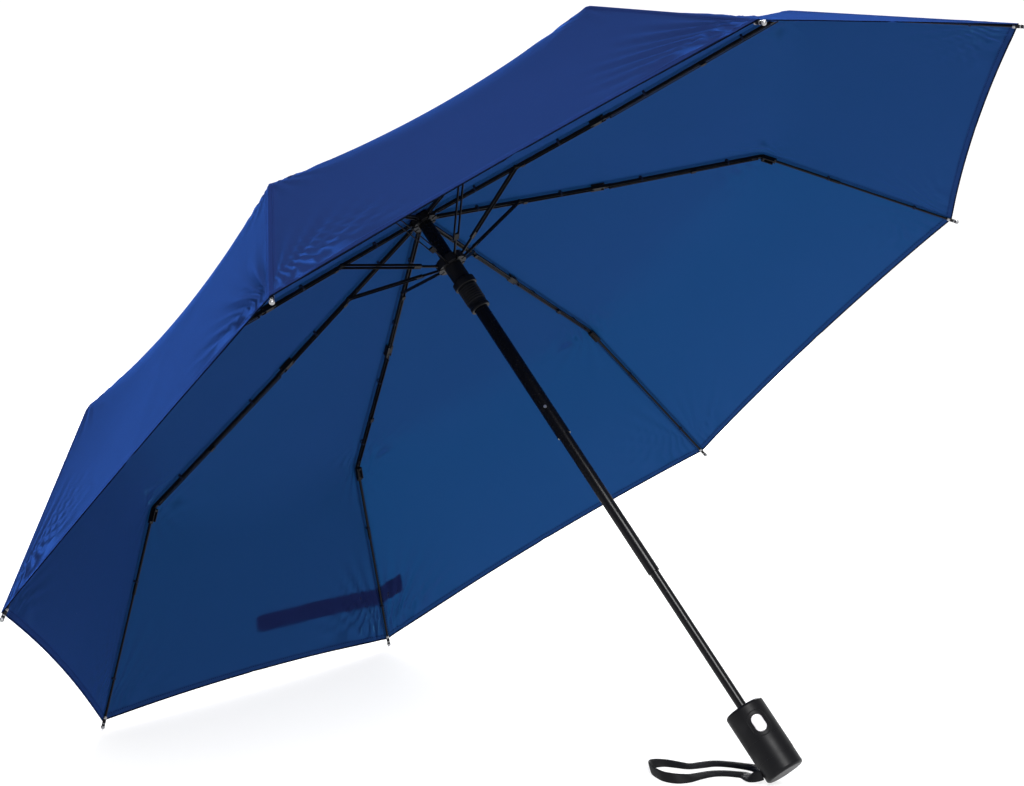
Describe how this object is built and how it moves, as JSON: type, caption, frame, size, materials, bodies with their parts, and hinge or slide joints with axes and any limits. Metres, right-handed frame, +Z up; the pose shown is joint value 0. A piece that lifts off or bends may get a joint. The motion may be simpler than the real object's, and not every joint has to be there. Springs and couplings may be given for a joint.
{
  "type": "folding umbrella",
  "caption": "Open three-fold umbrella lying on two rib tips and its handle, with folding ribs, sliding runner, telescopic shaft, push button and wrist strap.",
  "frame": {"origin": "centre of the bounding box's footprint, on the floor that the umbrella rests on", "axes": "+Z up from the floor; +X from the lowest canopy edge towards the handle, with the shaft leaning back in the XZ plane; +Y across the canopy"},
  "size_m": [0.692, 0.9014, 0.5986],
  "materials": {
    "frame_steel": "satin black enamel on pressed steel channels and wires",
    "shaft_steel": "glossy black enamel with a grey sheen",
    "bright_steel": "bright zinc-plated steel",
    "black_plastic": "moulded black nylon",
    "grip_plastic": "soft-touch black coating",
    "button_plastic": "silver-white pearl plastic",
    "canopy_cloth": "royal blue plain-weave polyester, slightly translucent",
    "strap_braid": "black flat braid",
    "tie_webbing": "navy polyester band with stitched edges"
  },
  "bodies": {
    "crown": {"top_notch": "black_plastic", "crown_washer": "canopy_cloth", "crown_cap": "black_plastic", "upper_tube": "shaft_steel", "guide_rivet": "bright_steel", "shaft_spring": "bright_steel", "tie_band": "tie_webbing", "canopy_gore_1": "canopy_cloth", "canopy_gore_2": "canopy_cloth", "canopy_gore_3": "canopy_cloth", "canopy_gore_4": "canopy_cloth", "canopy_gore_5": "canopy_cloth", "canopy_gore_6": "canopy_cloth", "canopy_gore_7": "canopy_cloth", "canopy_gore_8": "canopy_cloth"},
    "runner": {"runner": "black_plastic", "runner_collar": "black_plastic"},
    "middle_tube": {"middle_tube": "shaft_steel", "middle_stop": "bright_steel"},
    "handle": {"lower_tube": "shaft_steel", "lower_stop": "bright_steel", "handle_shell": "grip_plastic", "handle_cap": "black_plastic", "button_bezel": "black_plastic", "button_spring": "bright_steel", "strap_anchor": "black_plastic", "wrist_strap": "strap_braid"},
    "push_button": {"push_button": "button_plastic"},
    "inner_rib_1": {"inner_rib_1": "frame_steel"},
    "middle_rib_1": {"middle_rib_1": "frame_steel"},
    "outer_rib_1": {"outer_rib_1": "frame_steel"},
    "stretcher_1": {"stretcher_1": "frame_steel"},
    "inner_rib_2": {"inner_rib_2": "frame_steel"},
    "middle_rib_2": {"middle_rib_2": "frame_steel"},
    "outer_rib_2": {"outer_rib_2": "frame_steel"},
    "stretcher_2": {"stretcher_2": "frame_steel"},
    "inner_rib_3": {"inner_rib_3": "frame_steel"},
    "middle_rib_3": {"middle_rib_3": "frame_steel"},
    "outer_rib_3": {"outer_rib_3": "frame_steel"},
    "stretcher_3": {"stretcher_3": "frame_steel"},
    "inner_rib_4": {"inner_rib_4": "frame_steel"},
    "middle_rib_4": {"middle_rib_4": "frame_steel"},
    "outer_rib_4": {"outer_rib_4": "frame_steel"},
    "stretcher_4": {"stretcher_4": "frame_steel"},
    "inner_rib_5": {"inner_rib_5": "frame_steel"},
    "middle_rib_5": {"middle_rib_5": "frame_steel"},
    "outer_rib_5": {"outer_rib_5": "frame_steel"},
    "stretcher_5": {"stretcher_5": "frame_steel"},
    "inner_rib_6": {"inner_rib_6": "frame_steel"},
    "middle_rib_6": {"middle_rib_6": "frame_steel"},
    "outer_rib_6": {"outer_rib_6": "frame_steel"},
    "stretcher_6": {"stretcher_6": "frame_steel"},
    "inner_rib_7": {"inner_rib_7": "frame_steel"},
    "middle_rib_7": {"middle_rib_7": "frame_steel"},
    "outer_rib_7": {"outer_rib_7": "frame_steel"},
    "stretcher_7": {"stretcher_7": "frame_steel"},
    "inner_rib_8": {"inner_rib_8": "frame_steel"},
    "middle_rib_8": {"middle_rib_8": "frame_steel"},
    "outer_rib_8": {"outer_rib_8": "frame_steel"},
    "stretcher_8": {"stretcher_8": "frame_steel"}
  },
  "joints": [
    {"name": "runner_slide", "type": "slide", "parent": "crown", "child": "runner", "axis": [-0.642, 0, 0.7667], "range_m": [-0.12501, 0], "deforming": ["canopy_gore_1", "canopy_gore_2", "canopy_gore_3", "canopy_gore_4", "canopy_gore_5", "canopy_gore_6", "canopy_gore_7", "canopy_gore_8", "tie_band"]},
    {"name": "middle_tube_slide", "type": "slide", "parent": "crown", "child": "middle_tube", "axis": [-0.642, 0, 0.7667], "range_m": [0, 0.132], "deforming": ["shaft_spring"]},
    {"name": "lower_tube_slide", "type": "slide", "parent": "middle_tube", "child": "handle", "axis": [-0.642, 0, 0.7667], "range_m": [0, 0.125]},
    {"name": "button_press", "type": "slide", "parent": "handle", "child": "push_button", "axis": [0.5873, -0.6428, 0.4918], "range_m": [-0.0012, 0], "stiffness_N_per_m": 600, "springref_m": 0.0005, "deforming": ["button_spring"]},
    {"name": "inner_rib_1_fold", "type": "hinge", "parent": "crown", "child": "inner_rib_1", "pos_m": [-0.11336, 0.00344, 0.43836], "axis": [-0.2934, 0.9239, -0.2457], "range_deg": [0, 77.82]},
    {"name": "middle_rib_1_fold", "type": "hinge", "parent": "inner_rib_1", "child": "middle_rib_1", "pos_m": [0.02163, 0.06712, 0.51658], "axis": [-0.2934, 0.9239, -0.2457], "range_deg": [-177.62, 0]},
    {"name": "outer_rib_1_fold", "type": "hinge", "parent": "middle_rib_1", "child": "outer_rib_1", "pos_m": [0.15956, 0.13092, 0.59182], "axis": [-0.2934, 0.9239, -0.2457], "range_deg": [0, 146.3]},
    {"name": "stretcher_1_fold", "type": "hinge", "parent": "inner_rib_1", "child": "stretcher_1", "pos_m": [-0.04556, 0.03512, 0.4765], "axis": [-0.2934, 0.9239, -0.2457], "range_deg": [-145.71, 0]},
    {"name": "inner_rib_2_fold", "type": "hinge", "parent": "crown", "child": "inner_rib_2", "pos_m": [-0.1171, 0.00831, 0.43524], "axis": [-0.7083, 0.3827, -0.5932], "range_deg": [0, 77.82]},
    {"name": "middle_rib_2_fold", "type": "hinge", "parent": "inner_rib_2", "child": "middle_rib_2", "pos_m": [-0.05114, 0.16203, 0.45564], "axis": [-0.7083, 0.3827, -0.5932], "range_deg": [-177.62, 0]},
    {"name": "outer_rib_2_fold", "type": "hinge", "parent": "middle_rib_2", "child": "outer_rib_2", "pos_m": [0.01761, 0.31608, 0.47294], "axis": [-0.7083, 0.3827, -0.5932], "range_deg": [0, 146.3]},
    {"name": "stretcher_2_fold", "type": "hinge", "parent": "inner_rib_2", "child": "stretcher_2", "pos_m": [-0.08363, 0.08479, 0.44461], "axis": [-0.7083, 0.3827, -0.5932], "range_deg": [-145.71, 0]},
    {"name": "inner_rib_3_fold", "type": "hinge", "parent": "crown", "child": "inner_rib_3", "pos_m": [-0.12238, 0.00831, 0.43081], "axis": [-0.7083, -0.3827, -0.5932], "range_deg": [0, 77.82]},
    {"name": "middle_rib_3_fold", "type": "hinge", "parent": "inner_rib_3", "child": "middle_rib_3", "pos_m": [-0.15405, 0.16203, 0.36946], "axis": [-0.7083, -0.3827, -0.5932], "range_deg": [-177.62, 0]},
    {"name": "outer_rib_3_fold", "type": "hinge", "parent": "middle_rib_3", "child": "outer_rib_3", "pos_m": [-0.18314, 0.31608, 0.30482], "axis": [-0.7083, -0.3827, -0.5932], "range_deg": [0, 146.3]},
    {"name": "stretcher_3_fold", "type": "hinge", "parent": "inner_rib_3", "child": "stretcher_3", "pos_m": [-0.13749, 0.08479, 0.39951], "axis": [-0.7083, -0.3827, -0.5932], "range_deg": [-145.71, 0]},
    {"name": "inner_rib_4_fold", "type": "hinge", "parent": "crown", "child": "inner_rib_4", "pos_m": [-0.12611, 0.00344, 0.42769], "axis": [-0.2934, -0.9239, -0.2457], "range_deg": [0, 77.82]},
    {"name": "middle_rib_4_fold", "type": "hinge", "parent": "inner_rib_4", "child": "middle_rib_4", "pos_m": [-0.22681, 0.06712, 0.30852], "axis": [-0.2934, -0.9239, -0.2457], "range_deg": [-177.62, 0]},
    {"name": "outer_rib_4_fold", "type": "hinge", "parent": "middle_rib_4", "child": "outer_rib_4", "pos_m": [-0.3251, 0.13092, 0.18594], "axis": [-0.2934, -0.9239, -0.2457], "range_deg": [0, 146.3]},
    {"name": "stretcher_4_fold", "type": "hinge", "parent": "inner_rib_4", "child": "stretcher_4", "pos_m": [-0.17556, 0.03512, 0.36763], "axis": [-0.2934, -0.9239, -0.2457], "range_deg": [-145.71, 0]},
    {"name": "inner_rib_5_fold", "type": "hinge", "parent": "crown", "child": "inner_rib_5", "pos_m": [-0.12611, -0.00344, 0.42769], "axis": [0.2934, -0.9239, 0.2457], "range_deg": [0, 77.82]},
    {"name": "middle_rib_5_fold", "type": "hinge", "parent": "inner_rib_5", "child": "middle_rib_5", "pos_m": [-0.22681, -0.06712, 0.30852], "axis": [0.2934, -0.9239, 0.2457], "range_deg": [-177.62, 0]},
    {"name": "outer_rib_5_fold", "type": "hinge", "parent": "middle_rib_5", "child": "outer_rib_5", "pos_m": [-0.3251, -0.13092, 0.18594], "axis": [0.2934, -0.9239, 0.2457], "range_deg": [0, 146.3]},
    {"name": "stretcher_5_fold", "type": "hinge", "parent": "inner_rib_5", "child": "stretcher_5", "pos_m": [-0.17556, -0.03512, 0.36763], "axis": [0.2934, -0.9239, 0.2457], "range_deg": [-145.71, 0]},
    {"name": "inner_rib_6_fold", "type": "hinge", "parent": "crown", "child": "inner_rib_6", "pos_m": [-0.12238, -0.00831, 0.43081], "axis": [0.7083, -0.3827, 0.5932], "range_deg": [0, 77.82]},
    {"name": "middle_rib_6_fold", "type": "hinge", "parent": "inner_rib_6", "child": "middle_rib_6", "pos_m": [-0.15405, -0.16203, 0.36946], "axis": [0.7083, -0.3827, 0.5932], "range_deg": [-177.62, 0]},
    {"name": "outer_rib_6_fold", "type": "hinge", "parent": "middle_rib_6", "child": "outer_rib_6", "pos_m": [-0.18314, -0.31608, 0.30482], "axis": [0.7083, -0.3827, 0.5932], "range_deg": [0, 146.3]},
    {"name": "stretcher_6_fold", "type": "hinge", "parent": "inner_rib_6", "child": "stretcher_6", "pos_m": [-0.13749, -0.08479, 0.39951], "axis": [0.7083, -0.3827, 0.5932], "range_deg": [-145.71, 0]},
    {"name": "inner_rib_7_fold", "type": "hinge", "parent": "crown", "child": "inner_rib_7", "pos_m": [-0.1171, -0.00831, 0.43524], "axis": [0.7083, 0.3827, 0.5932], "range_deg": [0, 77.82]},
    {"name": "middle_rib_7_fold", "type": "hinge", "parent": "inner_rib_7", "child": "middle_rib_7", "pos_m": [-0.05114, -0.16203, 0.45564], "axis": [0.7083, 0.3827, 0.5932], "range_deg": [-177.62, 0]},
    {"name": "outer_rib_7_fold", "type": "hinge", "parent": "middle_rib_7", "child": "outer_rib_7", "pos_m": [0.01761, -0.31608, 0.47294], "axis": [0.7083, 0.3827, 0.5932], "range_deg": [0, 146.3]},
    {"name": "stretcher_7_fold", "type": "hinge", "parent": "inner_rib_7", "child": "stretcher_7", "pos_m": [-0.08363, -0.08479, 0.44461], "axis": [0.7083, 0.3827, 0.5932], "range_deg": [-145.71, 0]},
    {"name": "inner_rib_8_fold", "type": "hinge", "parent": "crown", "child": "inner_rib_8", "pos_m": [-0.11336, -0.00344, 0.43836], "axis": [0.2934, 0.9239, 0.2457], "range_deg": [0, 77.82]},
    {"name": "middle_rib_8_fold", "type": "hinge", "parent": "inner_rib_8", "child": "middle_rib_8", "pos_m": [0.02163, -0.06712, 0.51658], "axis": [0.2934, 0.9239, 0.2457], "range_deg": [-177.62, 0]},
    {"name": "outer_rib_8_fold", "type": "hinge", "parent": "middle_rib_8", "child": "outer_rib_8", "pos_m": [0.15956, -0.13092, 0.59182], "axis": [0.2934, 0.9239, 0.2457], "range_deg": [0, 146.3]},
    {"name": "stretcher_8_fold", "type": "hinge", "parent": "inner_rib_8", "child": "stretcher_8", "pos_m": [-0.04556, -0.03512, 0.4765], "axis": [0.2934, 0.9239, 0.2457], "range_deg": [-145.71, 0]}
  ],
  "couplings": [
    {"joint": "inner_rib_1_fold", "follows": "runner_slide", "rad_per_m": -10.865},
    {"joint": "middle_rib_1_fold", "follows": "runner_slide", "rad_per_m": 24.799},
    {"joint": "outer_rib_1_fold", "follows": "runner_slide", "rad_per_m": -20.426},
    {"joint": "stretcher_1_fold", "follows": "runner_slide", "rad_per_m": 20.344},
    {"joint": "inner_rib_2_fold", "follows": "runner_slide", "rad_per_m": -10.865},
    {"joint": "middle_rib_2_fold", "follows": "runner_slide", "rad_per_m": 24.799},
    {"joint": "outer_rib_2_fold", "follows": "runner_slide", "rad_per_m": -20.426},
    {"joint": "stretcher_2_fold", "follows": "runner_slide", "rad_per_m": 20.344},
    {"joint": "inner_rib_3_fold", "follows": "runner_slide", "rad_per_m": -10.865},
    {"joint": "middle_rib_3_fold", "follows": "runner_slide", "rad_per_m": 24.799},
    {"joint": "outer_rib_3_fold", "follows": "runner_slide", "rad_per_m": -20.426},
    {"joint": "stretcher_3_fold", "follows": "runner_slide", "rad_per_m": 20.344},
    {"joint": "inner_rib_4_fold", "follows": "runner_slide", "rad_per_m": -10.865},
    {"joint": "middle_rib_4_fold", "follows": "runner_slide", "rad_per_m": 24.799},
    {"joint": "outer_rib_4_fold", "follows": "runner_slide", "rad_per_m": -20.426},
    {"joint": "stretcher_4_fold", "follows": "runner_slide", "rad_per_m": 20.344},
    {"joint": "inner_rib_5_fold", "follows": "runner_slide", "rad_per_m": -10.865},
    {"joint": "middle_rib_5_fold", "follows": "runner_slide", "rad_per_m": 24.799},
    {"joint": "outer_rib_5_fold", "follows": "runner_slide", "rad_per_m": -20.426},
    {"joint": "stretcher_5_fold", "follows": "runner_slide", "rad_per_m": 20.344},
    {"joint": "inner_rib_6_fold", "follows": "runner_slide", "rad_per_m": -10.865},
    {"joint": "middle_rib_6_fold", "follows": "runner_slide", "rad_per_m": 24.799},
    {"joint": "outer_rib_6_fold", "follows": "runner_slide", "rad_per_m": -20.426},
    {"joint": "stretcher_6_fold", "follows": "runner_slide", "rad_per_m": 20.344},
    {"joint": "inner_rib_7_fold", "follows": "runner_slide", "rad_per_m": -10.865},
    {"joint": "middle_rib_7_fold", "follows": "runner_slide", "rad_per_m": 24.799},
    {"joint": "outer_rib_7_fold", "follows": "runner_slide", "rad_per_m": -20.426},
    {"joint": "stretcher_7_fold", "follows": "runner_slide", "rad_per_m": 20.344},
    {"joint": "inner_rib_8_fold", "follows": "runner_slide", "rad_per_m": -10.865},
    {"joint": "middle_rib_8_fold", "follows": "runner_slide", "rad_per_m": 24.799},
    {"joint": "outer_rib_8_fold", "follows": "runner_slide", "rad_per_m": -20.426},
    {"joint": "stretcher_8_fold", "follows": "runner_slide", "rad_per_m": 20.344}
  ]
}
